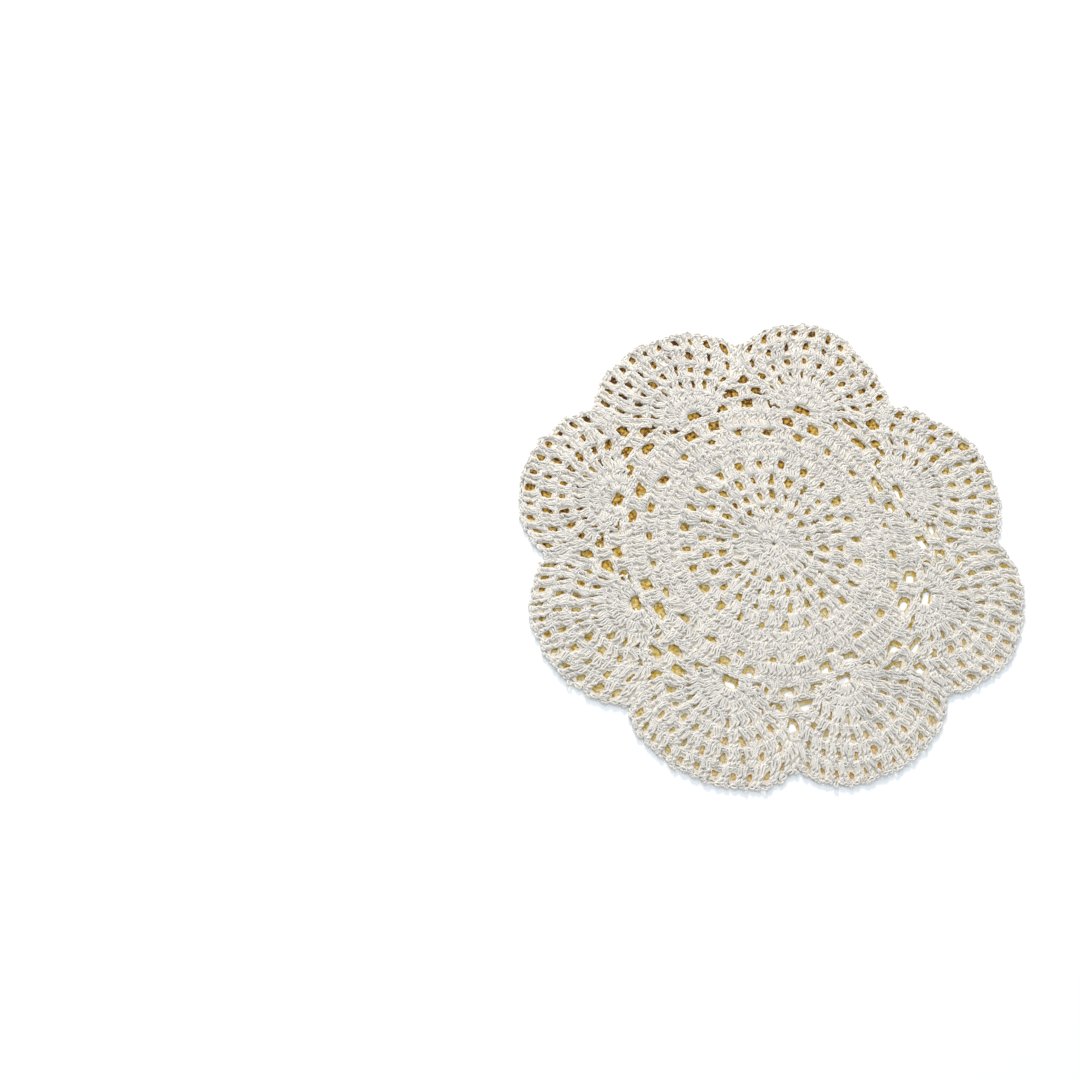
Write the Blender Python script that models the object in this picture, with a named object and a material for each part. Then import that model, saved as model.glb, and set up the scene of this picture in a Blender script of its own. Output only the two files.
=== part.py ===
"""A round crocheted lace doily with eight fan-shaped petals, laid flat.

It is worked in one piece, so it is one scalloped sheet of cotton crochet: rounds
of gaps about the middle, and arcs of gaps about the middle of each petal's fan.
The solid is in metres, +Z up. Its origin is under the middle of the sheet, on the
surface that the doily lies on, and the first petal points along +X.
"""

import math

import bmesh
import bpy

# Driving dimensions, in millimetres and degrees.
PETALS = 8
TIP_SPAN = 280.0
FAN_RADIUS = 84.6
CLOTH_THICKNESS = 2.6
EDGE_BUMPS = 12
EDGE_BUMP_HEIGHT = 0.8
EDGE_POINTS_PER_BUMP = 4
NOTCH_CLEARANCE = 0.6

# Sizes that follow from them.
PETAL_TURN = 360.0 / PETALS
FAN_REACH = TIP_SPAN / 2 - FAN_RADIUS

# A gap has six corners: its outer side's share of its width, and how far a gap
# that narrows inwards has its widest place above its middle.
GAP_SIDE_SHARE = 0.68
GAP_WIDEST_RISE = 0.3

# Rounds of gaps about the doily's middle. The turns are degrees from a petal's
# axis and repeat in every petal. Inner share is the width of a gap's inner side
# as a share of its outer side.
GAP_ROUNDS = (
    # name, turns, radius, width, height, inner share
    ("star mesh", (6.0, 28.5), 19.8, 3.8, 4.6, 1.0),
    ("first mesh", (0.0, 15.0, 30.0), 28.6, 4.0, 5.0, 1.0),
    ("second mesh", (0.0, 15.0, 30.0), 38.0, 4.6, 5.0, 1.0),
    ("tall mesh", (7.5, 22.5, 37.5), 48.0, 4.8, 8.4, 1.0),
    ("wedge mesh", (0.0, 15.0, 30.0), 67.6, 7.8, 4.8, 0.3),
    ("paired gaps", (-6.2, 6.2), 75.4, 9.2, 6.0, 0.9),
    ("fan root", (0.0,), 84.4, 11.0, 5.4, 0.8),
    ("base mesh", (11.25, 22.5, 33.75), 84.2, 8.6, 4.6, 0.8),
    ("side gaps", (-17.0, 17.0), 91.4, 8.6, 4.2, 0.9),
    ("valley gap", (22.5,), 100.6, 7.4, 8.0, 0.8),
)

# Arcs of gaps about the middle of each petal's fan, evenly spaced about its axis.
FAN_GAP_ARCS = (
    # name, gaps, spacing, radius, width, height, inner share
    ("fan mesh", 7, 15.8, 31.6, 4.0, 5.0, 0.8),
    ("rim mesh", 7, 10.6, 49.8, 4.4, 4.8, 0.8),
)

# How far the hand work has pulled each petal from its even place: the turn and reach
# of its fan's middle, how far its fan leans to one side, and the reach of its rim at
# its tip and at the notch after it.
PETAL_DRIFT = (
    # turn in degrees, reach in millimetres, lean in degrees, tip and notch in millimetres
    (-0.7, 3.0, -0.5, 1.6, 7.5),
    (-3.2, -4.4, 1.0, 3.0, -7.0),
    (1.8, -1.7, -6.0, 0.2, -3.0),
    (1.1, -1.7, 6.0, -4.0, -1.0),
    (2.8, 2.6, -2.5, -1.5, 2.5),
    (-1.9, 0.0, -4.5, 3.5, 5.5),
    (-2.4, -1.7, -4.0, 1.7, 8.0),
    (-3.2, -3.0, -6.0, 1.2, 1.2),
)
PETAL_TURNS = [row[0] for row in PETAL_DRIFT]
PETAL_REACHES = [row[1] for row in PETAL_DRIFT]
FAN_LEANS = [row[2] for row in PETAL_DRIFT]
RIM_REACHES = [reach for row in PETAL_DRIFT for reach in row[3:]]

# The small unevenness of the stitches: sideways, and in the cloth's thickness.
RIPPLE = 0.35
RIPPLE_LENGTH = 23.0
SHORT_RIPPLE_LENGTH = 13.5
LUMP_HEIGHT = 0.18
LUMP_LENGTH = 29.0
LONG_LUMP_LENGTH = 33.0


def cotton(name, hex_colour, roughness):
    """A matt material of one sRGB colour."""
    channels = [int(hex_colour[i:i + 2], 16) / 255 for i in (0, 2, 4)]
    linear = [c / 12.92 if c <= 0.04045 else ((c + 0.055) / 1.055) ** 2.4 for c in channels]
    material = bpy.data.materials.new(name)
    material.use_nodes = True
    shader = material.node_tree.nodes["Principled BSDF"]
    shader.inputs["Base Color"].default_value = (*linear, 1.0)
    shader.inputs["Roughness"].default_value = roughness
    shader.inputs["Metallic"].default_value = 0.0
    return material


def polar(radius, degrees):
    """The point at a radius and a turn about the doily's middle."""
    angle = math.radians(degrees)
    return radius * math.cos(angle), radius * math.sin(angle)


def eased(values, degrees):
    """Evenly spaced values round the doily, eased from each one to the next."""
    place = degrees / 360.0 * len(values)
    start = math.floor(place)
    ease = (1 - math.cos(math.pi * (place - start))) / 2
    return values[start % len(values)] * (1 - ease) + values[(start + 1) % len(values)] * ease


def ripple(place, length):
    """A small sideways wave along the cloth."""
    return RIPPLE * math.sin(2 * math.pi * place / length + 1.0)


def handmade(x, y):
    """Move an evenly drawn point to where the hand work has it."""
    radius = math.hypot(x, y)
    degrees = math.degrees(math.atan2(y, x))
    inside = min(radius / FAN_RADIUS, 1.0) ** 2
    beyond = max(radius - FAN_RADIUS, 0.0) / FAN_REACH
    reach = eased(PETAL_REACHES, degrees) * inside + eased(RIM_REACHES, degrees) * beyond
    x, y = polar(radius + reach, degrees + eased(PETAL_TURNS, degrees) * inside)
    return (x + ripple(y, RIPPLE_LENGTH) + ripple(x, SHORT_RIPPLE_LENGTH),
            y - ripple(x, RIPPLE_LENGTH) + ripple(y, SHORT_RIPPLE_LENGTH))


def lump(x, y):
    """How much thicker or thinner the cloth is at a point."""
    return LUMP_HEIGHT * (math.sin(2 * math.pi * x / LUMP_LENGTH)
                          + math.sin(2 * math.pi * (x + y) / LONG_LUMP_LENGTH))


def rim_limit():
    """The turn about a fan's middle at which its rim meets the next petal's rim."""
    half_turn = math.radians(PETAL_TURN / 2)
    bend = math.asin(FAN_RADIUS * math.sin(half_turn) / FAN_REACH)
    return math.degrees(half_turn + bend) - math.degrees(NOTCH_CLEARANCE / FAN_REACH)


def fan_point(petal, radius, degrees):
    """The point at a radius and a turn about one fan's middle, leaning as the fan does."""
    lean = FAN_LEANS[petal] * max(1 - (degrees / rim_limit()) ** 2, 0.0)
    x, y = polar(radius, degrees + lean)
    axis = math.radians(petal * PETAL_TURN)
    x += FAN_RADIUS
    return (x * math.cos(axis) - y * math.sin(axis), x * math.sin(axis) + y * math.cos(axis))


def outline():
    """The rim: one arc of small bumps for each petal, meeting in notches."""
    steps = EDGE_BUMPS * EDGE_POINTS_PER_BUMP
    points = []
    for petal in range(PETALS):
        for step in range(steps + 1):
            turn = rim_limit() * (2 * step / steps - 1)
            wave = math.cos(2 * math.pi * step / EDGE_POINTS_PER_BUMP)
            radius = FAN_REACH - EDGE_BUMP_HEIGHT * (1 + wave) / 2
            points.append(fan_point(petal, radius, turn))
    return points


def gap_corners(width, height, inner_share):
    """Six corners of a gap, across and outwards from its middle."""
    outer = width * GAP_SIDE_SHARE / 2
    inner = outer * inner_share
    widest = height * GAP_WIDEST_RISE * (1 - inner_share)
    return ((width / 2, widest), (outer, height / 2), (-outer, height / 2),
            (-width / 2, widest), (-inner, -height / 2), (inner, -height / 2))


def gaps():
    """The corners of every gap that goes right through the sheet."""
    loops = []
    for petal in range(PETALS):
        for _, turns, radius, width, height, inner_share in GAP_ROUNDS:
            corners = gap_corners(width, height, inner_share)
            for turn in turns:
                loops.append([polar(radius + out, petal * PETAL_TURN + turn
                                    + math.degrees(across / (radius + out)))
                              for across, out in corners])
        for _, count, spacing, radius, width, height, inner_share in FAN_GAP_ARCS:
            corners = gap_corners(width, height, inner_share)
            for place in range(count):
                turn = spacing * (place - (count - 1) / 2)
                loops.append([fan_point(petal, radius + out,
                                        turn + math.degrees(across / (radius + out)))
                              for across, out in corners])
    return loops


def draw_loop(mesh, points, middle):
    """Add one closed loop of edges, in metres about the sheet's middle."""
    corners = [mesh.verts.new(((x - middle[0]) / 1000, (y - middle[1]) / 1000, 0.0))
               for x, y in points]
    for corner, following in zip(corners, corners[1:] + corners[:1]):
        mesh.edges.new((corner, following))


def make_doily():
    """The whole doily: a flat sheet with its gaps, raised to its thickness."""
    rim = [handmade(*point) for point in outline()]
    columns, rows = zip(*rim)
    middle = ((min(columns) + max(columns)) / 2, (min(rows) + max(rows)) / 2)

    mesh = bmesh.new()
    draw_loop(mesh, rim, middle)
    for loop in gaps():
        draw_loop(mesh, [handmade(*point) for point in loop], middle)
    bmesh.ops.triangle_fill(mesh, use_beauty=True, edges=mesh.edges[:])

    raised = bmesh.ops.extrude_face_region(mesh, geom=mesh.faces[:])
    for part in raised["geom"]:
        if isinstance(part, bmesh.types.BMVert):
            thickness = CLOTH_THICKNESS + lump(part.co.x * 1000, part.co.y * 1000)
            part.co.z = thickness / 1000
    bmesh.ops.recalc_face_normals(mesh, faces=mesh.faces[:])

    data = bpy.data.meshes.new("doily")
    mesh.to_mesh(data)
    mesh.free()
    data.materials.append(cotton("cream_cotton", "ece7de", 0.9))
    doily = bpy.data.objects.new("doily", data)
    bpy.context.scene.collection.objects.link(doily)
    return doily


for leftover in list(bpy.data.objects):
    bpy.data.objects.remove(leftover, do_unlink=True)
make_doily()
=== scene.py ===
"""The looks of a crocheted lace doily: every stitch is worked in thread from a chart.

The doily has eight fan petals round an openwork middle. The first petal points along
+X, and the others follow anticlockwise. Lengths are in millimetres and turns in degrees
until a piece is made. The scene itself is in metres.
"""
import math
import random
from collections import namedtuple

import bmesh
import bpy
import numpy as np
from mathutils import Matrix, Vector


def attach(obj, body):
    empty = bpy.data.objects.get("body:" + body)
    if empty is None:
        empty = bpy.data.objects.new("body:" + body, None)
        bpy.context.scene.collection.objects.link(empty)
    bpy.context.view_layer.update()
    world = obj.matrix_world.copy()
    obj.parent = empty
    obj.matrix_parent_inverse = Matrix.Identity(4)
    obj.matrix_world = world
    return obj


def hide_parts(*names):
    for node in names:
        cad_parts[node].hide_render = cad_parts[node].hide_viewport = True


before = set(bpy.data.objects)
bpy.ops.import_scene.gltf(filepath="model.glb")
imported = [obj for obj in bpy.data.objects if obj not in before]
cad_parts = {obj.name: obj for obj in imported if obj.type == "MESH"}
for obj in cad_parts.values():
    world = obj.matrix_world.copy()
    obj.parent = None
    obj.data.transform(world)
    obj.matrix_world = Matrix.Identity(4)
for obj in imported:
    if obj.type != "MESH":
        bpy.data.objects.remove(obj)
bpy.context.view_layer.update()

MM = 0.001

# The doily's driving sizes, as the frame was made to: its span over two opposite tips,
# how far the middle of each petal's fan lies from the doily's own, the small bumps of the
# rim, and how far a petal's rim stays clear of the notch that it meets the next one in.
PETALS = 8
TIP_SPAN = 280.0
FAN_RADIUS = 84.6
PETAL_TURN = 360.0 / PETALS
FAN_REACH = TIP_SPAN / 2 - FAN_RADIUS
EDGE_BUMPS = 12
EDGE_BUMP_HEIGHT = 0.8
EDGE_POINTS_PER_BUMP = 4
NOTCH_CLEARANCE = 0.6

# How far the hand work has pulled each petal from its even place: the turn and reach
# of its fan's middle, how far its fan leans to one side, and the reach of its rim at
# its tip and at the notch after it.
PETAL_DRIFT = np.array((
    # turn in degrees, reach in millimetres, lean in degrees, tip and notch in millimetres
    (-0.7, 3.0, -0.5, 1.6, 7.5),
    (-3.2, -4.4, 1.0, 3.0, -7.0),
    (1.8, -1.7, -6.0, 0.2, -3.0),
    (1.1, -1.7, 6.0, -4.0, -1.0),
    (2.8, 2.6, -2.5, -1.5, 2.5),
    (-1.9, 0.0, -4.5, 3.5, 5.5),
    (-2.4, -1.7, -4.0, 1.7, 8.0),
    (-3.2, -3.0, -6.0, 1.2, 1.2),
))
PETAL_TURNS = PETAL_DRIFT[:, 0]
PETAL_REACHES = PETAL_DRIFT[:, 1]
FAN_LEANS = PETAL_DRIFT[:, 2]
RIM_REACHES = PETAL_DRIFT[:, 3:].ravel()

# The small waves of the cloth: how far they go sideways, and how long they are.
RIPPLE = 0.35
RIPPLE_LENGTH = 23.0
SHORT_RIPPLE_LENGTH = 13.5

# The thread: its half width, how high the middle of its loops lies over the surface,
# and the share of their depth that the pressed loops keep. A thread repeated in
# thousands of stitches has few sides, and hardly more points than its chart.
HALF_THREAD = 0.6
MIDDLE_HEIGHT = 1.42
PRESSED = 0.60
THREAD_SIDES = 5
POINTS_PER_CHARTED = 1.05

# How unevenly the stitches are worked, in thread half widths: the usual size of each
# stitch's own faults, and of how far each point of its route strays sideways.
UNEVENNESS = (
    1.1,    # how far its post bends sideways
    1.9,    # how far its post leans sideways
    0.6,    # how much taller it stands
    0.5,    # how much nearer to the viewer it lies
)
WOBBLE = 0.35

# Directions over the floor: away from the key lamp, and to the front right and the right
# of the photograph's view. Gaps and the painted shade in them change along them as far
# as SIDE_REACH from the doily's middle.
AWAY_FROM_LIGHT = np.array((0.42, -0.91))
TO_FRONT_RIGHT = np.array((0.64, -0.77))
TO_RIGHT = np.array((0.92, -0.38))
SIDE_REACH = 150.0

# ---------------------------------------------------------------- the plan

def polar(radius, degrees):
    """Points at a radius and a turn about the doily's middle."""
    angle = np.radians(degrees)
    return radius * np.cos(angle), radius * np.sin(angle)


def rim_limit():
    """The turn about a fan's middle at which its rim meets the next petal's rim."""
    half_turn = math.radians(PETAL_TURN / 2)
    bend = math.asin(FAN_RADIUS * math.sin(half_turn) / FAN_REACH)
    return math.degrees(half_turn + bend) - math.degrees(NOTCH_CLEARANCE / FAN_REACH)


def fan_polar(petal):
    """The same about the middle of one petal's fan, whose rows lean to one side."""
    axis = math.radians(petal * PETAL_TURN)

    def place(radius, degrees):
        lean = FAN_LEANS[petal] * np.maximum(1 - (degrees / rim_limit()) ** 2, 0.0)
        x, y = polar(radius, degrees + lean)
        x = x + FAN_RADIUS
        return (x * math.cos(axis) - y * math.sin(axis),
                x * math.sin(axis) + y * math.cos(axis))
    return place


def eased(values, degrees):
    """Evenly spaced values round the doily, eased from each one to the next."""
    count = len(values)
    place = degrees / 360.0 * count
    start = np.floor(place).astype(int)
    ease = (1 - np.cos(np.pi * (place - start))) / 2
    return values[start % count] * (1 - ease) + values[(start + 1) % count] * ease


def ripple(place, length):
    """A small sideways wave along the cloth."""
    return RIPPLE * np.sin(2 * np.pi * place / length + 1.0)


def handmade(x, y):
    """Move evenly drawn points to where the hand work has them."""
    radius = np.hypot(x, y)
    degrees = np.degrees(np.arctan2(y, x))
    inside = np.minimum(radius / FAN_RADIUS, 1.0) ** 2
    beyond = np.maximum(radius - FAN_RADIUS, 0.0) / FAN_REACH
    reach = eased(PETAL_REACHES, degrees) * inside + eased(RIM_REACHES, degrees) * beyond
    x, y = polar(radius + reach, degrees + eased(PETAL_TURNS, degrees) * inside)
    return (x + ripple(y, RIPPLE_LENGTH) + ripple(x, SHORT_RIPPLE_LENGTH),
            y - ripple(x, RIPPLE_LENGTH) + ripple(y, SHORT_RIPPLE_LENGTH))


def handmade_loop(x, y):
    """The same, as one row of x and y for each point."""
    return np.stack(handmade(x, y), axis=1)


def outline(inset):
    """The rim as one loop of points, drawn in by an inset."""
    steps = EDGE_BUMPS * EDGE_POINTS_PER_BUMP
    step = np.arange(steps + 1)
    turn = rim_limit() * (2 * step / steps - 1)
    wave = np.cos(2 * np.pi * step / EDGE_POINTS_PER_BUMP)
    radius = FAN_REACH - inset - EDGE_BUMP_HEIGHT * (1 + wave) / 2
    return np.concatenate([handmade_loop(*fan_polar(petal)(radius, turn))
                           for petal in range(PETALS)])


def sheet_middle():
    """The middle of the rim's box, which is the frame's origin."""
    rim = outline(0.0)
    return (rim.min(axis=0) + rim.max(axis=0)) / 2


SHEET_MIDDLE = sheet_middle()


# ------------------------------------------------------------ the stitches

# The route of the thread through one stitch, as a hand lays it. Along is a share of the
# way to the next stitch's top, and up is a share of the round's height. Across, lift and
# out are in thread half widths: sideways, outwards past that height, and to the viewer.
DOUBLE_CROCHET = np.array((
    # along, across, up, lift, out
    (-0.75, 0.0, 1.00, -0.2, -1.5),   # behind the last stitch's top
    (-0.30, 0.0, 0.86, 0.0, -1.2),
    (0.0, -1.8, 0.80, 0.0, 0.3),      # wraps the post from its left shoulder
    (0.0, 0.0, 0.62, 0.0, 1.9),
    (0.0, 1.9, 0.44, 0.0, 0.6),       # to its right side
    (0.0, 0.5, 0.36, 0.0, -1.2),
    (0.0, -0.9, 0.20, 0.0, -1.4),     # down behind
    (0.0, -0.9, 0.0, -0.6, -1.9),
    (0.0, -0.9, 0.0, -2.4, -0.2),     # under the last round's edge
    (0.0, -1.6, 0.0, -0.3, 1.5),      # and up over it to the front
    (0.0, -1.3, 0.25, 0.0, 0.9),
    (0.0, -0.5, 0.47, 0.0, 0.5),
    (0.0, 0.5, 0.60, 0.0, 0.5),       # round the neck of the post
    (0.0, 1.4, 0.45, 0.0, 0.5),
    (0.0, 0.9, 0.25, 0.0, 0.9),       # down the front again
    (0.0, 0.4, 0.0, -0.3, 1.5),
    (0.0, 0.9, 0.0, -2.4, -0.2),
    (0.0, 0.9, 0.0, -0.6, -1.9),
    (0.0, 0.9, 0.30, 0.0, -1.3),      # up behind
    (0.0, -0.3, 0.58, 0.0, -0.7),
    (0.0, -1.0, 0.80, 0.0, 0.3),      # the upper half of the post
    (0.0, -0.1, 1.0, -1.0, 1.1),
    (0.0, 1.0, 0.80, 0.0, 0.3),
    (0.0, 0.3, 0.68, 0.0, -0.9),
    (0.0, 0.0, 0.90, 0.0, -1.0),
    (0.10, 0.0, 1.0, 0.2, -0.2),      # the V along the round's edge
    (0.50, 0.0, 1.0, -0.9, 1.2),
    (1.00, 0.0, 1.0, -0.8, 1.0),
    (1.18, 0.0, 1.0, 0.4, 0.2),
    (0.90, 0.0, 1.0, 1.2, 0.3),
    (0.45, 0.0, 1.0, 1.1, -0.6),
))

# A taller stitch is wrapped twice.
TREBLE = np.array((
    (-0.75, 0.0, 1.00, -0.2, -1.5),
    (-0.30, 0.0, 0.92, 0.0, -1.2),
    (0.0, -1.8, 0.88, 0.0, 0.3),
    (0.0, 0.0, 0.77, 0.0, 1.8),
    (0.0, 1.8, 0.66, 0.0, 0.4),
    (0.0, 0.0, 0.62, 0.0, -1.3),
    (0.0, -1.8, 0.60, 0.0, 0.3),
    (0.0, 0.0, 0.49, 0.0, 1.8),
    (0.0, 1.8, 0.37, 0.0, 0.4),
    (0.0, 0.0, 0.30, 0.0, -1.3),
    (0.0, -0.9, 0.0, -0.4, -1.9),
    (0.0, -0.9, 0.0, -2.4, -0.2),
    (0.0, -1.6, 0.0, -0.3, 1.5),
    (0.0, -1.2, 0.22, 0.0, 0.8),
    (0.0, -0.4, 0.40, 0.0, 0.5),
    (0.0, 0.5, 0.50, 0.0, 0.4),
    (0.0, 1.3, 0.38, 0.0, 0.5),
    (0.0, 0.9, 0.22, 0.0, 0.8),
    (0.0, 0.4, 0.0, -0.3, 1.5),
    (0.0, 0.9, 0.0, -2.4, -0.2),
    (0.0, 0.9, 0.0, -0.4, -1.9),
    (0.0, 0.4, 0.40, 0.0, -1.0),
    (0.0, -1.0, 0.60, 0.0, 0.3),
    (0.0, -1.0, 0.86, 0.0, 0.3),
    (0.0, 0.0, 1.0, -1.0, 1.1),
    (0.0, 1.0, 0.86, 0.0, 0.3),
    (0.0, 1.0, 0.62, 0.0, 0.2),
    (0.0, 0.0, 0.70, 0.0, -1.0),
    (0.10, 0.0, 1.0, 0.2, -0.2),
    (0.50, 0.0, 1.0, -0.9, 1.2),
    (1.00, 0.0, 1.0, -0.8, 1.0),
    (1.18, 0.0, 1.0, 0.4, 0.2),
    (0.90, 0.0, 1.0, 1.2, 0.3),
    (0.45, 0.0, 1.0, 1.1, -0.6),
))

# A chain spans a gap: a V with the thread running on behind it.
CHAIN = np.array((
    (0.10, 0.0, 1.0, 0.1, -0.9),
    (0.25, 0.0, 1.0, -0.6, 0.3),
    (0.60, 0.0, 1.0, -1.2, 0.9),
    (1.00, 0.0, 1.0, -0.9, 0.8),
    (1.22, 0.0, 1.0, 0.1, 0.0),
    (1.00, 0.0, 1.0, 1.1, 0.6),
    (0.55, 0.0, 1.0, 1.3, 0.7),
    (0.25, 0.0, 1.0, 0.6, -0.3),
    (0.60, 0.0, 1.0, 0.0, -1.2),
))

# A picot is a small point of thread on the rim.
PICOT = np.array((
    (0.15, 0.0, 1.0, 0.6, -0.6),
    (0.00, 0.0, 1.0, 1.5, 0.2),
    (0.35, 0.0, 1.0, 2.2, 0.6),
    (0.75, 0.0, 1.0, 2.1, 0.3),
    (1.00, 0.0, 1.0, 1.4, 0.2),
    (0.60, 0.0, 1.0, 0.8, 0.7),
))

ROUTES = {"double": DOUBLE_CROCHET, "treble": TREBLE, "chain": CHAIN, "picot": PICOT}


def work(place, inner, outer, stitches, closed, dice):
    """The thread's route through one round or row, as points in millimetres.

    A stitch is (kind, its turn at the last round's edge, its turn at this one's).
    A bent post bows most half way up, and a leaning one turns about that place.
    """
    tops = [top for _, _, top in stitches]
    tops.append(tops[0] + 360.0 if closed else 2 * tops[-1] - tops[-2])
    route = []
    for (kind, base, top), following in zip(stitches, tops[1:]):
        along, across, up, lift, out = ROUTES[kind].T
        bend, lean, stretch, rise = [dice.gauss(0.0, spread) for spread in UNEVENNESS]
        radius = inner + (outer - inner) * up + (lift + stretch * up) * HALF_THREAD
        wobble = np.array([dice.gauss(0.0, WOBBLE) for _ in across])
        across = across + wobble + bend * up * (1 - up) * 4 + lean * (up - 0.5)
        turn = base + (top - base) * up + along * (following - top)
        turn = turn + np.degrees(across * HALF_THREAD / radius)
        height = MIDDLE_HEIGHT + (out + rise) * HALF_THREAD * PRESSED
        x, y = handmade(*place(radius, turn))
        route.append(np.stack((x, y, height), axis=1))
    route = smooth(np.concatenate(route), closed)
    route[:, 2] = np.maximum(route[:, 2], HALF_THREAD)
    return route


def smooth(route, closed):
    """A rounder route through the same points (Catmull-Rom)."""
    count = len(route)
    points = round(count * POINTS_PER_CHARTED)
    steps = np.arange(points) * count / points if closed else np.linspace(0, count - 1, points)
    start = np.floor(steps).astype(int)
    t = (steps - start)[:, None]

    def near(offset):
        index = start + offset
        return route[index % count if closed else np.clip(index, 0, count - 1)]

    before, here, after, later = near(-1), near(0), near(1), near(2)
    return here + 0.5 * t * (after - before + t * (
        2 * before - 5 * here + 4 * after - later + t * (3 * (here - after) + later - before)))


# --------------------------------------------------------------- the chart

# Whole rounds about the middle. A round repeats a group of stitches with a run of
# chain between the groups. Base and top are the distances between the outer
# stitches of a group, at the last round's edge and at this one's.
MIDDLE_ROUNDS = (
    # name, inner, outer, groups, first turn, stitch, stitches, base, top, chains
    ("centre", 2.7, 9.2, 22, 0.0, "double", 1, 0.0, 0.0, 0),
    ("second", 9.2, 16.5, 40, 3.0, "double", 1, 0.0, 0.0, 0),
    ("star mesh", 16.5, 24.1, 16, 17.2, "double", 2, 2.3, 2.4, 1),
    ("first mesh", 24.1, 33.2, 24, 7.5, "treble", 2, 2.1, 2.3, 1),
    ("second mesh", 33.2, 42.7, 24, 7.5, "treble", 3, 3.3, 3.8, 1),
    ("tall mesh", 42.7, 52.9, 24, 0.0, "treble", 4, 4.6, 5.5, 2),
)
SOLID_BANDS = (
    ("band", 52.9, 59.2, 144, 0.0, "double", 1, 0.0, 0.0, 0),
    ("second band", 59.2, 63.7, 144, 1.2, "double", 1, 0.0, 0.0, 0),
)
WEDGE_MESH = (
    ("wedge mesh", 63.7, 71.1, 24, 7.5, "double", 4, 9.6, 6.4, 3),
)

# The round under the petals: a small block of stitches on each petal's axis, and a broad
# one in each valley between two petals. A block is (stitches, base, top).
SHELL_INNER = 71.1
SHELL_OUTER = 80.4
AXIS_BLOCK = (3, 3.6, 4.4)
VALLEY_BLOCK = (13, 32.0, 33.0)
SHELL_CHAINS = 3

# The mesh between two fans, worked in short rows across each valley. A row runs from
# its end turn on one side of the valley to the same turn on the other.
VALLEY_ROWS = (
    # inner, outer, groups of (turn from the valley, stitches, base, top), end turn, chains
    (80.4, 89.2, ((-5.6, 2, 2.6, 2.8), (5.6, 2, 2.6, 2.8)), 10.2, 3),
    (89.2, 97.0, ((0.0, 2, 2.6, 2.8),), 6.9, 3),
)

# A ring of chain lies over the join between the round under the petals and the fans.
JOINING_RING = 81.4
JOINING_CHAINS = 192

# The rows of one fan, about its own middle: two close ones, then four of small gaps. The
# limits are the turns of a row's outermost groups, at the last row's edge and at this
# one's. Ends is how many more stitches it has at each end, to meet the next petal's.
FAN_ROWS = (
    # inner, outer, groups, base limit, top limit, stitch, stitches, base, top, chains, ends
    (6.0, 11.8, 17, 96.0, 99.0, "double", 1, 0.0, 0.0, 0, 0),
    (11.8, 18.2, 25, 92.0, 90.0, "double", 1, 0.0, 0.0, 0, 0),
    (18.2, 26.8, 10, 75.0, 70.5, "double", 2, 2.0, 2.7, 1, 0),
    (26.8, 36.2, 10, 70.0, 72.0, "treble", 2, 2.3, 2.8, 1, 0),
    (36.2, 45.4, 10, 69.5, 63.8, "treble", 3, 4.3, 5.0, 1, 0),
    (45.4, 54.0, 12, 62.0, 55.0, "treble", 2, 2.5, 2.9, 1, 1),
)

# How far the groups of stitches drift from their even places.
GROUP_DRIFT = 0.5

# How many stitches and chains a picot of the rim follows, how many degrees further on it
# stands, and how far apart a row's end stitches stand.
PICOT_STEP = 3
PICOT_TURN = 1.0
END_STEP = 2.7

# One worked row: how its turns and radii are placed, its two edges, its groups of
# stitches, the chains between them, whether it closes into a round, and whether picots
# edge it.
Row = namedtuple("Row", "place inner outer groups chains closed edged")


def group(kind, middle_base, middle_top, count, base, top, inner, outer, dice):
    """Some stitches side by side, as rows of (kind, base turn, top turn)."""
    share = [0.0] if count == 1 else [i / (count - 1) - 0.5 for i in range(count)]
    base_drift, top_drift = dice.gauss(0.0, GROUP_DRIFT), dice.gauss(0.0, GROUP_DRIFT)
    return [(kind, middle_base + math.degrees((s * base + base_drift) / inner),
             middle_top + math.degrees((s * top + top_drift) / outer)) for s in share]


def join_groups(row):
    """A row's groups in order, with a run of chain after each one that has a next."""
    stitches = []
    for index, stitch_group in enumerate(row.groups):
        stitches += stitch_group
        last = index == len(row.groups) - 1
        if last and not row.closed:
            break
        start = stitch_group[-1][2]
        end = row.groups[0][0][2] + 360.0 if last else row.groups[index + 1][0][2]
        step = (end - start) / (row.chains + 1)
        stitches += [("chain", 0.0, start + step * (i + 1)) for i in range(row.chains)]
    return add_picots(stitches) if row.edged else stitches


def add_picots(stitches):
    """The same stitches and chains, with a picot after every few of them."""
    edged = []
    for place, stitch in enumerate(stitches):
        edged.append(stitch)
        if place % PICOT_STEP == PICOT_STEP - 1:
            edged.append(("picot", 0.0, stitch[2] + PICOT_TURN))
    return edged


def whole_rounds(chart):
    """The rounds of a chart, all about the doily's middle."""
    rows = []
    for _, inner, outer, count, first, kind, stitches, base, top, chains in chart:
        dice = random.Random(count)
        turns = [first + 360.0 * i / count for i in range(count)]
        groups = [group(kind, turn, turn, stitches, base, top, inner, outer, dice)
                  for turn in turns]
        rows.append(Row(polar, inner, outer, groups, chains, True, False))
    return rows


def shell_round():
    """The round under the petals."""
    groups = []
    dice = random.Random(PETALS)
    for petal in range(PETALS):
        axis = petal * PETAL_TURN
        for turn, (count, base, top) in ((axis, AXIS_BLOCK),
                                         (axis + PETAL_TURN / 2, VALLEY_BLOCK)):
            groups.append(group("treble", turn, turn, count, base, top,
                                SHELL_INNER, SHELL_OUTER, dice))
    return [Row(polar, SHELL_INNER, SHELL_OUTER, groups, SHELL_CHAINS, True, False)]


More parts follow.
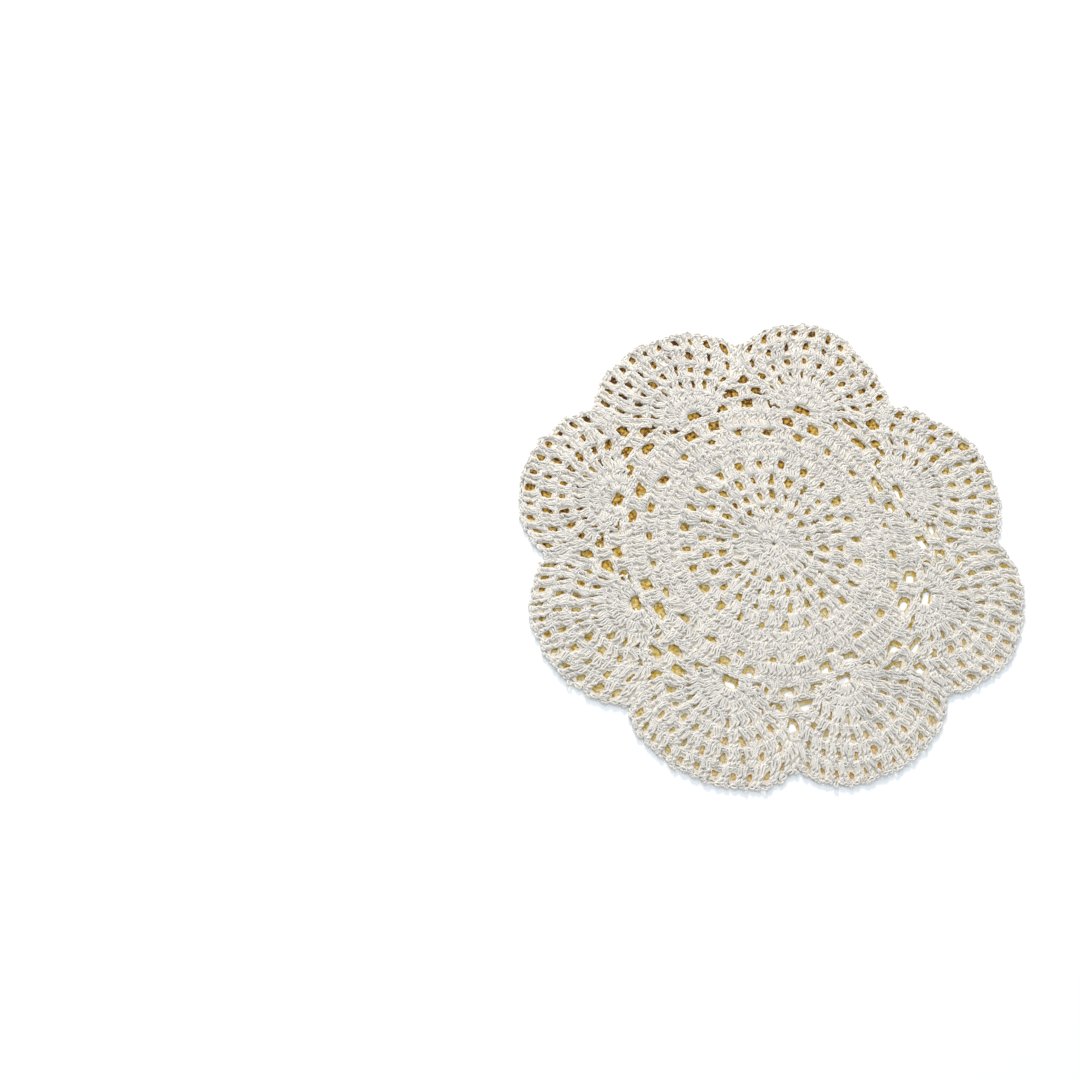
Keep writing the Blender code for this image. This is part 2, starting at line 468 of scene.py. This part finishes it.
def valley_rows():
    """The short rows between the fans."""
    rows = []
    dice = random.Random(PETALS)
    for petal in range(PETALS):
        valley = (petal + 0.5) * PETAL_TURN
        for inner, outer, blocks, end, chains in VALLEY_ROWS:
            groups = [[("chain", valley - end, valley - end)]]
            for turn, count, base, top in blocks:
                groups.append(group("double", valley + turn, valley + turn, count,
                                    base, top, inner, outer, dice))
            groups.append([("chain", valley + end, valley + end)])
            rows.append(Row(polar, inner, outer, groups, chains, False, False))
    return rows


def joining_ring():
    """The ring of chain under the fans."""
    groups = [[("chain", 0.0, 360.0 * i / JOINING_CHAINS)] for i in range(JOINING_CHAINS)]
    return [Row(polar, JOINING_RING, JOINING_RING, groups, 0, True, False)]


def add_end_stitch(stitch_group, away, inner, outer):
    """One more stitch at a group's end, or at its start where away is negative."""
    at_end = away > 0
    kind, base, top = stitch_group[-1 if at_end else 0]
    stitch_group.insert(len(stitch_group) if at_end else 0,
                        (kind, base + math.degrees(away / inner),
                         top + math.degrees(away / outer)))


def fan_rows(petal):
    """The rows of one petal. The outermost has picots."""
    rows = []
    dice = random.Random(petal)
    for chart in FAN_ROWS:
        (inner, outer, count, base_limit, top_limit, kind, stitches, base, top,
         chains, ends) = chart
        share = [2 * i / (count - 1) - 1 for i in range(count)]
        groups = [group(kind, s * base_limit, s * top_limit, stitches, base, top,
                        inner, outer, dice) for s in share]
        for _ in range(ends):
            add_end_stitch(groups[0], -END_STEP, inner, outer)
            add_end_stitch(groups[-1], END_STEP, inner, outer)
        edged = chart == FAN_ROWS[-1]
        rows.append(Row(fan_polar(petal), inner, outer, groups, chains, False, edged))
    return rows


def routes_of(rows, dice):
    """The thread's routes through some rows."""
    return [(work(row.place, row.inner, row.outer, join_groups(row), row.closed, dice),
             row.closed) for row in rows]


# ------------------------------------------------------------ the materials

# The thread's colour by its height over the surface, up to COLOURED_HEIGHT. It is painted
# shade and light: golden painted shade low down, where other thread shades it, and middle
# heights painted lighter and tops darker, to soften the lamps' contrast.
COLOURED_HEIGHT = 2.6
THREAD_COLOUR_AND_PAINTED_SHADE = (
    # share of that height, colour
    (0.0, "b48b44"),
    (0.2, "d0b684"),
    (0.4, "eae2d4"),
    (0.6, "e8e4dc"),
    (1.0, "cecbc6"),
)

# Three plies wind round the thread, once in PLY_LENGTH, and stand out PLY_SHARE as much
# as its fibres do. Real fibres are about 0.02 mm thick, too fine to show, so they are
# drawn as tufts of FIBRE.
PLIES = 3
PLY_LENGTH = 4.2
PLY_SHARE = 0.6
FIBRE = 0.35
THREAD_RELIEF = 0.13

# The core's fluff is felted by washing. Its real tufts are a few tenths of a millimetre,
# and are drawn about as coarse as the thread, so that they show between the stitches.
FLUFF = 1.3
FLUFF_RELIEF = 0.3
CORE_COLOURS_AND_PAINTED_SHADE = (
    # the fluff's noise, colour; the brown low end is painted shade between the stitches
    (0.0, "94783c"),
    (0.36, "a8946c"),
    (0.46, "cdc7bc"),
    (1.0, "dad8d4"),
)

# The painted shade in the gaps lies in patches of PATCH, a little wider than a thread. The
# noise that draws them keeps mostly within PATCH_NOISE, and moves it by SHADE_SPREAD in all.
PATCH = 1.7
PATCH_NOISE = (0.3, 0.7)
SHADE_SPREAD = 0.8
SHADE_COLOURS = (
    # share of the way from the back left to the front right, colour of the painted shade
    (0.0, "432406"),
    (0.2, "8c6018"),
    (0.42, "b4922e"),
    (0.62, "b8a25c"),
    (0.78, "cdc49a"),
    (1.0, "b88c50"),
)


def linear(hex_colour):
    """A linear colour from sRGB hex."""
    channels = [int(hex_colour[i:i + 2], 16) / 255 for i in (0, 2, 4)]
    return [c / 12.92 if c <= 0.04045 else ((c + 0.055) / 1.055) ** 2.4 for c in channels] + [1.0]


def add(tree, kind, settings=None, **links):
    """A node with its settings. Each link is a socket, or a value for that input.

    An input is named with _ for a space, or by its place, as in0 for the first.
    """
    node = tree.nodes.new(kind)
    for name, value in (settings or {}).items():
        setattr(node, name, value)
    for name, value in links.items():
        numbered = name.startswith("in") and name[2:].isdigit()
        key = int(name[2:]) if numbered else name.replace("_", " ")
        if isinstance(value, bpy.types.NodeSocket):
            tree.links.new(value, node.inputs[key])
        else:
            node.inputs[key].default_value = value
    return node


def set_colours(stops, colours):
    """Give the stops of a ramp their places from 0 to 1, and their colours."""
    for position, _ in colours[1:-1]:
        stops.new(position)
    for stop, (position, colour) in zip(stops, colours):
        stop.position = position
        stop.color = linear(colour)


def new_material(name):
    """An empty material with its Principled shader."""
    material = bpy.data.materials.new(name)
    material.use_nodes = True
    tree = material.node_tree
    return material, tree, tree.nodes["Principled BSDF"]


def cotton_thread():
    """Undyed, unmercerised crochet cotton: matt, cream and plied, with painted golden shade low
    down and painted darker tops.
    """
    material, tree, shader = new_material("undyed_crochet_cotton")
    place = add(tree, "ShaderNodeTexCoord").outputs["Object"]
    # The colour by height is painted shade: golden low down, and darker on the tops.
    height = add(tree, "ShaderNodeSeparateXYZ", Vector=place).outputs["Z"]
    depth = add(tree, "ShaderNodeMapRange", Value=height, From_Min=0.0,
                From_Max=COLOURED_HEIGHT * MM).outputs[0]
    colour = add(tree, "ShaderNodeValToRGB", in0=depth)
    set_colours(colour.color_ramp.elements, THREAD_COLOUR_AND_PAINTED_SHADE)
    tree.links.new(colour.outputs["Color"], shader.inputs["Base Color"])

    # The plies wind round the thread: its own length and side say where they lie.
    along = add(tree, "ShaderNodeAttribute", {"attribute_name": "along"}).outputs["Fac"]
    around = add(tree, "ShaderNodeAttribute", {"attribute_name": "around"}).outputs["Vector"]
    side = add(tree, "ShaderNodeSeparateXYZ", Vector=around)
    angle = add(tree, "ShaderNodeMath", {"operation": "ARCTAN2"},
                in0=side.outputs["X"], in1=side.outputs["Y"]).outputs[0]
    turns = add(tree, "ShaderNodeMath", {"operation": "MULTIPLY"},
                in0=along, in1=2 * math.pi / (PLY_LENGTH * MM)).outputs[0]
    wound = add(tree, "ShaderNodeMath", {"operation": "MULTIPLY_ADD"},
                in0=angle, in1=PLIES, in2=turns).outputs[0]
    plies = add(tree, "ShaderNodeMath", {"operation": "SINE"}, in0=wound).outputs[0]
    # Short fibres stand off the plies.
    fuzz = add(tree, "ShaderNodeTexNoise", Vector=place, Scale=1.0 / (FIBRE * MM),
               Detail=2.0).outputs[0]
    relief = add(tree, "ShaderNodeMath", {"operation": "MULTIPLY_ADD"},
                 in0=plies, in1=PLY_SHARE, in2=fuzz).outputs[0]
    bump = add(tree, "ShaderNodeBump", Height=relief, Distance=THREAD_RELIEF * MM)
    tree.links.new(bump.outputs[0], shader.inputs["Normal"])

    # Cotton doesn't shine, but the fluff of its fibres catches light at its edges.
    shader.inputs["Roughness"].default_value = 0.9
    shader.inputs["Specular IOR Level"].default_value = 0.2
    shader.inputs["Sheen Weight"].default_value = 0.35
    shader.inputs["Sheen Roughness"].default_value = 0.6
    return material


def core_cotton():
    """The felted inside of the stitches: pale and fluffy, with brown patches of painted shade."""
    material, tree, shader = new_material("felted_cotton_core")
    place = add(tree, "ShaderNodeTexCoord").outputs["Object"]
    fluff = add(tree, "ShaderNodeTexNoise", Vector=place, Scale=1.0 / (FLUFF * MM),
                Detail=3.0).outputs[0]
    # The ramp's brown low end paints shade between the stitches.
    colour = add(tree, "ShaderNodeValToRGB", in0=fluff)
    set_colours(colour.color_ramp.elements, CORE_COLOURS_AND_PAINTED_SHADE)
    tree.links.new(colour.outputs["Color"], shader.inputs["Base Color"])
    bump = add(tree, "ShaderNodeBump", Height=fluff, Distance=FLUFF_RELIEF * MM)
    tree.links.new(bump.outputs[0], shader.inputs["Normal"])
    shader.inputs["Roughness"].default_value = 0.95
    return material


def shaded_cotton():
    """Painted shade deep in the gaps: a golden sheet where there is only shade.

    It is dark brown at the back left and paler at the front right, patch by patch.
    """
    material, tree, shader = new_material("shaded_cotton")
    place = add(tree, "ShaderNodeTexCoord").outputs["Object"]
    forward = add(tree, "ShaderNodeVectorMath", {"operation": "DOT_PRODUCT"},
                  in0=place, in1=(*TO_FRONT_RIGHT, 0.0)).outputs["Value"]
    shade = add(tree, "ShaderNodeMapRange", Value=forward, From_Min=-SIDE_REACH * MM,
                From_Max=SIDE_REACH * MM).outputs[0]
    patches = add(tree, "ShaderNodeTexNoise", Vector=place, Scale=1.0 / (PATCH * MM),
                  Detail=2.0).outputs[0]
    spread = add(tree, "ShaderNodeMapRange", Value=patches, From_Min=PATCH_NOISE[0],
                 From_Max=PATCH_NOISE[1], To_Min=-SHADE_SPREAD / 2,
                 To_Max=SHADE_SPREAD / 2).outputs[0]
    shade = add(tree, "ShaderNodeMath", {"operation": "ADD"}, in0=shade, in1=spread).outputs[0]
    colour = add(tree, "ShaderNodeValToRGB", in0=shade)
    set_colours(colour.color_ramp.elements, SHADE_COLOURS)
    tree.links.new(colour.outputs["Color"], shader.inputs["Base Color"])
    shader.inputs["Roughness"].default_value = 0.95
    return material


# --------------------------------------------------------------- the pieces

def add_piece(name, mesh, material):
    """A finished piece of the doily, on the frame's only body."""
    mesh.materials.append(material)
    piece = bpy.data.objects.new(name, mesh)
    bpy.context.scene.collection.objects.link(piece)
    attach(piece, "root")
    return piece


def tube_maker():
    """A node tree that turns routes into thread, with its length and its sides kept."""
    tree = bpy.data.node_groups.new("lay_thread", "GeometryNodeTree")
    tree.interface.new_socket("Geometry", in_out="INPUT", socket_type="NodeSocketGeometry")
    tree.interface.new_socket("Geometry", in_out="OUTPUT", socket_type="NodeSocketGeometry")
    route = add(tree, "NodeGroupInput").outputs[0]
    length = add(tree, "GeometryNodeSplineParameter").outputs["Length"]
    route = add(tree, "GeometryNodeStoreNamedAttribute", {"data_type": "FLOAT"},
                Geometry=route, Name="along", Value=length).outputs[0]
    ring = add(tree, "GeometryNodeCurvePrimitiveCircle", Resolution=THREAD_SIDES,
               Radius=HALF_THREAD * MM).outputs[0]
    side = add(tree, "GeometryNodeInputPosition").outputs[0]
    ring = add(tree, "GeometryNodeStoreNamedAttribute", {"data_type": "FLOAT_VECTOR"},
               Geometry=ring, Name="around", Value=side).outputs[0]
    tube = add(tree, "GeometryNodeCurveToMesh", Curve=route, Fill_Caps=True)
    tree.links.new(ring, tube.inputs["Profile Curve"])
    smoothed = add(tree, "GeometryNodeSetShadeSmooth", Geometry=tube.outputs[0]).outputs[0]
    add(tree, "NodeGroupOutput", in0=smoothed)
    return tree


def lay_thread(name, routes, tree, material):
    """One piece of crochet: a tube of thread along each of the routes."""
    curve = bpy.data.curves.new(name + "_route", "CURVE")
    curve.dimensions = "3D"
    for route, closed in routes:
        points = (route - (*SHEET_MIDDLE, 0.0)) * MM
        spline = curve.splines.new("POLY")
        spline.points.add(len(points) - 1)
        spline.points.foreach_set("co", np.c_[points, np.ones(len(points))].ravel())
        spline.use_cyclic_u = closed
    guide = bpy.data.objects.new(name + "_route", curve)
    bpy.context.scene.collection.objects.link(guide)
    guide.modifiers.new("thread", "NODES").node_group = tree
    evaluated = guide.evaluated_get(bpy.context.evaluated_depsgraph_get())
    mesh = bpy.data.meshes.new_from_object(evaluated)
    mesh.name = name
    bpy.data.objects.remove(guide, do_unlink=True)
    return add_piece(name, mesh, material)


# What the stitches cover of the space between two groups: the width of a post, and the
# edges of the rounds below and above. No gap is narrower than LEAST_GAP.
POST_WIDTH = 2.3
LOWER_EDGE = 1.5
UPPER_EDGE = 1.4
LEAST_GAP = 0.8

# A gap's loop: its corners, the power that squares it (1 is round), how much of its
# reach a corner may lose by chance, and how much of its size a whole gap may.
GAP_CORNERS = 10
GAP_SQUARING = 0.7
CORNER_SPREAD = 0.42
GAP_SPREAD = 0.35

# The fluff closes narrow gaps by this share at SIDE_REACH to the front right. Gaps beside
# a fan open by this many times their size at SIDE_REACH to the right, until all that
# the stitches leave is open, and lose this share of their shift.
FRONT_CLOSING = 0.25
RIGHT_OPENING = 4.5
RIGHT_SHIFT_LOSS = 0.5

# The gaps that lie between a fan and what it is worked on, inside the stitches.
FAN_SIDE_GAPS = (
    # turns in a petal, radius, width, height
    ((0.0,), 85.2, 11.2, 6.2),
    ((11.25, 22.5, 33.75), 85.3, 9.6, 6.0),
    ((-17.0, 17.0), 92.9, 9.6, 5.4),
    ((22.5,), 101.8, 7.6, 7.0),
)

# The inside of the cloth has two layers: a core that the stitches mostly hide, and under it
# a sheet of painted shade that reaches into the gaps, further on the side that faces the
# light. A layer has an underside and a top, a ledge inside each gap, a share of the rest
# that it leaves open, shifts of its narrow and its wide gaps away from the light, and a
# hole in its middle. It stays LAYER_INSET inside the rim.
Layer = namedtuple("Layer", "underside top ledge share narrow_shift wide_shift hole")
LAYER_INSET = 1.6
LAYER_SEED = 7
CLOTH_CORE = Layer(0.60, 1.28, -0.55, 1.0, 0.0, 0.0, 1.3)
# The lower layer is painted shade: a golden sheet in the gaps, not thread.
PAINTED_SHADE_SHEET = Layer(0.15, 0.50, 0.9, 0.38, 1.8, 2.7, 0.0)


def uneven_corners(dice):
    """A round-cornered square loop, half a side each way: across and outwards."""
    turn = np.arange(GAP_CORNERS) * 2 * np.pi / GAP_CORNERS
    uneven = np.array([1.0 - dice.uniform(0.0, CORNER_SPREAD) for _ in turn])
    return np.array([uneven * np.sign(wave) * np.abs(wave) ** GAP_SQUARING / 2
                     for wave in (np.cos(turn), np.sin(turn))])


def gaps_between(row, layer, dice):
    """A layer's gap between each two groups of a row."""
    inner = row.inner + LOWER_EDGE + layer.ledge
    outer = row.outer - UPPER_EDGE - layer.ledge
    pairs = list(zip(row.groups, row.groups[1:]))
    if row.closed:
        pairs.append((row.groups[-1], row.groups[0]))
    for before, after in pairs:
        across, upward = uneven_corners(dice)
        radius = (inner + outer) / 2 + upward * max(layer.share * (outer - inner), LEAST_GAP)
        up = (radius - row.inner) / (row.outer - row.inner)
        margin = np.degrees((POST_WIDTH / 2 + layer.ledge) / radius)
        _, base, top = before[-1]
        _, next_base, next_top = after[0]
        lap = 360.0 if next_top < top else 0.0
        start = base + (top - base) * up + margin
        end = next_base + (next_top - next_base) * up + lap - margin
        width = np.maximum(layer.share * (end - start), np.degrees(LEAST_GAP / radius))
        yield row.place(radius, (start + end) / 2 + across * width)


def fan_side_gaps(layer, dice):
    """A layer's gaps between a fan and what it is worked on."""
    for petal in range(PETALS):
        for turns, middle, width, height in FAN_SIDE_GAPS:
            for turn in turns:
                across, upward = uneven_corners(dice) * layer.share
                radius = middle + upward * (height - 2 * layer.ledge)
                yield polar(radius, petal * PETAL_TURN + turn
                            + np.degrees(across * (width - 2 * layer.ledge) / radius))


def narrow_gap(gap, layer, dice):
    """A gap between two groups, smaller by chance and towards the front right."""
    loop = handmade_loop(*gap)
    middle = loop.mean(axis=0)
    forward = max(middle @ TO_FRONT_RIGHT / SIDE_REACH, 0.0)
    scale = (1 - FRONT_CLOSING * forward) * (1 - dice.uniform(0.0, GAP_SPREAD))
    return middle + (loop - middle) * scale + AWAY_FROM_LIGHT * layer.narrow_shift


def wide_gap(gap, layer):
    """A gap beside a fan, which opens to the floor towards the right."""
    loop = handmade_loop(*gap)
    middle = loop.mean(axis=0)
    opening = RIGHT_OPENING * max(middle @ TO_RIGHT / SIDE_REACH, 0.0)
    loop = middle + (loop - middle) * min(1 + opening, 1 / layer.share)
    shift = layer.wide_shift * (1 - RIGHT_SHIFT_LOSS * min(opening, 1.0))
    return loop + AWAY_FROM_LIGHT * shift


def layer_loops(layer, rows):
    """A layer's rim, the hole in its middle, its narrow gaps and its wide ones."""
    dice = random.Random(LAYER_SEED)
    wide = list(fan_side_gaps(layer, dice))
    narrow = []
    for row in rows:
        # The gaps of the round under the petals lie beside the fans.
        if row.inner == SHELL_INNER:
            wide += gaps_between(row, layer, dice)
        elif row.chains:
            narrow += [narrow_gap(gap, layer, dice) for gap in gaps_between(row, layer, dice)]
    loops = [outline(LAYER_INSET)]
    if layer.hole:
        turns = np.arange(GAP_CORNERS) * 360.0 / GAP_CORNERS
        loops.append(handmade_loop(*polar(layer.hole, turns)))
    return loops + narrow + [wide_gap(gap, layer) for gap in wide]


def make_layer(name, layer, material, rows):
    """A thin sheet inside the stitches, with the doily's own outline, and its area."""
    mesh = bmesh.new()
    for loop in layer_loops(layer, rows):
        corners = [mesh.verts.new((x, y, layer.underside * MM))
                   for x, y in (loop - SHEET_MIDDLE) * MM]
        for corner, following in zip(corners, corners[1:] + corners[:1]):
            mesh.edges.new((corner, following))
    bmesh.ops.triangle_fill(mesh, use_beauty=True, edges=mesh.edges[:])
    area = sum(face.calc_area() for face in mesh.faces)
    raised = bmesh.ops.extrude_face_region(mesh, geom=mesh.faces[:])
    upper = [part for part in raised["geom"] if isinstance(part, bmesh.types.BMVert)]
    thickness = (layer.top - layer.underside) * MM
    bmesh.ops.translate(mesh, verts=upper, vec=(0.0, 0.0, thickness))
    bmesh.ops.recalc_face_normals(mesh, faces=mesh.faces[:])
    data = bpy.data.meshes.new(name)
    mesh.to_mesh(data)
    mesh.free()
    return add_piece(name, data, material), area


# ------------------------------------------------- the floor, light, camera

# The floor, the lamps and the pale room, in metres and watts.
FLOOR_SIZE = 6.0
FLOOR_COLOUR = "f1f4f6"
LAMPS = (
    # name, place, size, power, colour
    ("key", (-0.60, 1.32, 0.78), 0.3, 21.5, "fff5e8"),
    ("fill", (-0.45, 0.30, 0.80), 0.8, 3.2, "fcfcff"),
)
ROOM_COLOUR = "eaeff3"
ROOM_LIGHT = 0.9

# The camera: its place, what it is aimed at, its roll, its lens and its nearest view.
CAMERA_PLACE = Vector((-164.6, -430.8, 930.0)) * MM
CAMERA_AIM = Vector((-122.6, -39.8, 0.0)) * MM
CAMERA_ROLL = 24.1
CAMERA_LENS = 63.3
NEAREST_SEEN = 10.0 * MM


def make_floor():
    """A plain floor in matt pale paint."""
    material, _, shader = new_material("matt_pale_paint")
    shader.inputs["Base Color"].default_value = linear(FLOOR_COLOUR)
    shader.inputs["Roughness"].default_value = 0.9
    mesh = bmesh.new()
    bmesh.ops.create_grid(mesh, x_segments=1, y_segments=1, size=FLOOR_SIZE / 2)
    data = bpy.data.meshes.new("floor")
    mesh.to_mesh(data)
    mesh.free()
    data.materials.append(material)
    floor = bpy.data.objects.new("floor", data)
    bpy.context.scene.collection.objects.link(floor)


def make_light(name, place, size, power, colour):
    """A soft square lamp that faces the doily."""
    lamp = bpy.data.lights.new(name, "AREA")
    lamp.size = size
    lamp.energy = power
    lamp.color = linear(colour)[:3]
    light = bpy.data.objects.new(name, lamp)
    light.location = place
    light.rotation_euler = (-Vector(place)).to_track_quat("-Z", "Y").to_euler()
    bpy.context.scene.collection.objects.link(light)


def make_camera():
    """The photograph's view: from the front left, high up, slightly rolled."""
    lens = bpy.data.cameras.new("camera")
    lens.lens = CAMERA_LENS
    lens.clip_start = NEAREST_SEEN
    camera = bpy.data.objects.new("camera", lens)
    aim = (CAMERA_AIM - CAMERA_PLACE).to_track_quat("-Z", "Y").to_matrix().to_4x4()
    roll = Matrix.Rotation(math.radians(CAMERA_ROLL), 4, "Z")
    camera.matrix_world = Matrix.Translation(CAMERA_PLACE) @ aim @ roll
    bpy.context.scene.collection.objects.link(camera)
    bpy.context.scene.camera = camera


def make_studio():
    """The floor, a high soft key from the back left, a fill and a pale room."""
    make_floor()
    for lamp in LAMPS:
        make_light(*lamp)
    world = bpy.data.worlds.new("room")
    world.use_nodes = True
    background = world.node_tree.nodes["Background"]
    background.inputs["Color"].default_value = linear(ROOM_COLOUR)
    background.inputs["Strength"].default_value = ROOM_LIGHT
    bpy.context.scene.world = world
    bpy.context.scene.view_settings.view_transform = "Standard"


def make_doily():
    """Every piece of the doily, on the frame."""
    thread = cotton_thread()
    tree = tube_maker()
    petals = [fan_rows(petal) for petal in range(PETALS)]
    base_rounds = whole_rounds(WEDGE_MESH) + shell_round()
    sections = {
        "middle_rounds": whole_rounds(MIDDLE_ROUNDS),
        "solid_bands": whole_rounds(SOLID_BANDS),
        "petal_base": base_rounds + joining_ring() + valley_rows(),
    }
    sections.update((f"petal_{number}", rows) for number, rows in enumerate(petals, 1))
    # Each piece is uneven in its own way, which its seed keeps the same in every run.
    for seed, (name, rows) in enumerate(sections.items()):
        lay_thread(name, routes_of(rows, random.Random(seed)), tree, thread)

    gapped_rows = sections["middle_rounds"] + sum(petals, []) + base_rounds
    core, _ = make_layer("cloth_core", CLOTH_CORE, core_cotton(), gapped_rows)
    # A sheet of painted shade fills the gaps under the stitches.
    loops, area = make_layer("lower_loops", PAINTED_SHADE_SHEET, shaded_cotton(), gapped_rows)
    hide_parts("doily")


make_camera()
make_studio()
make_doily()
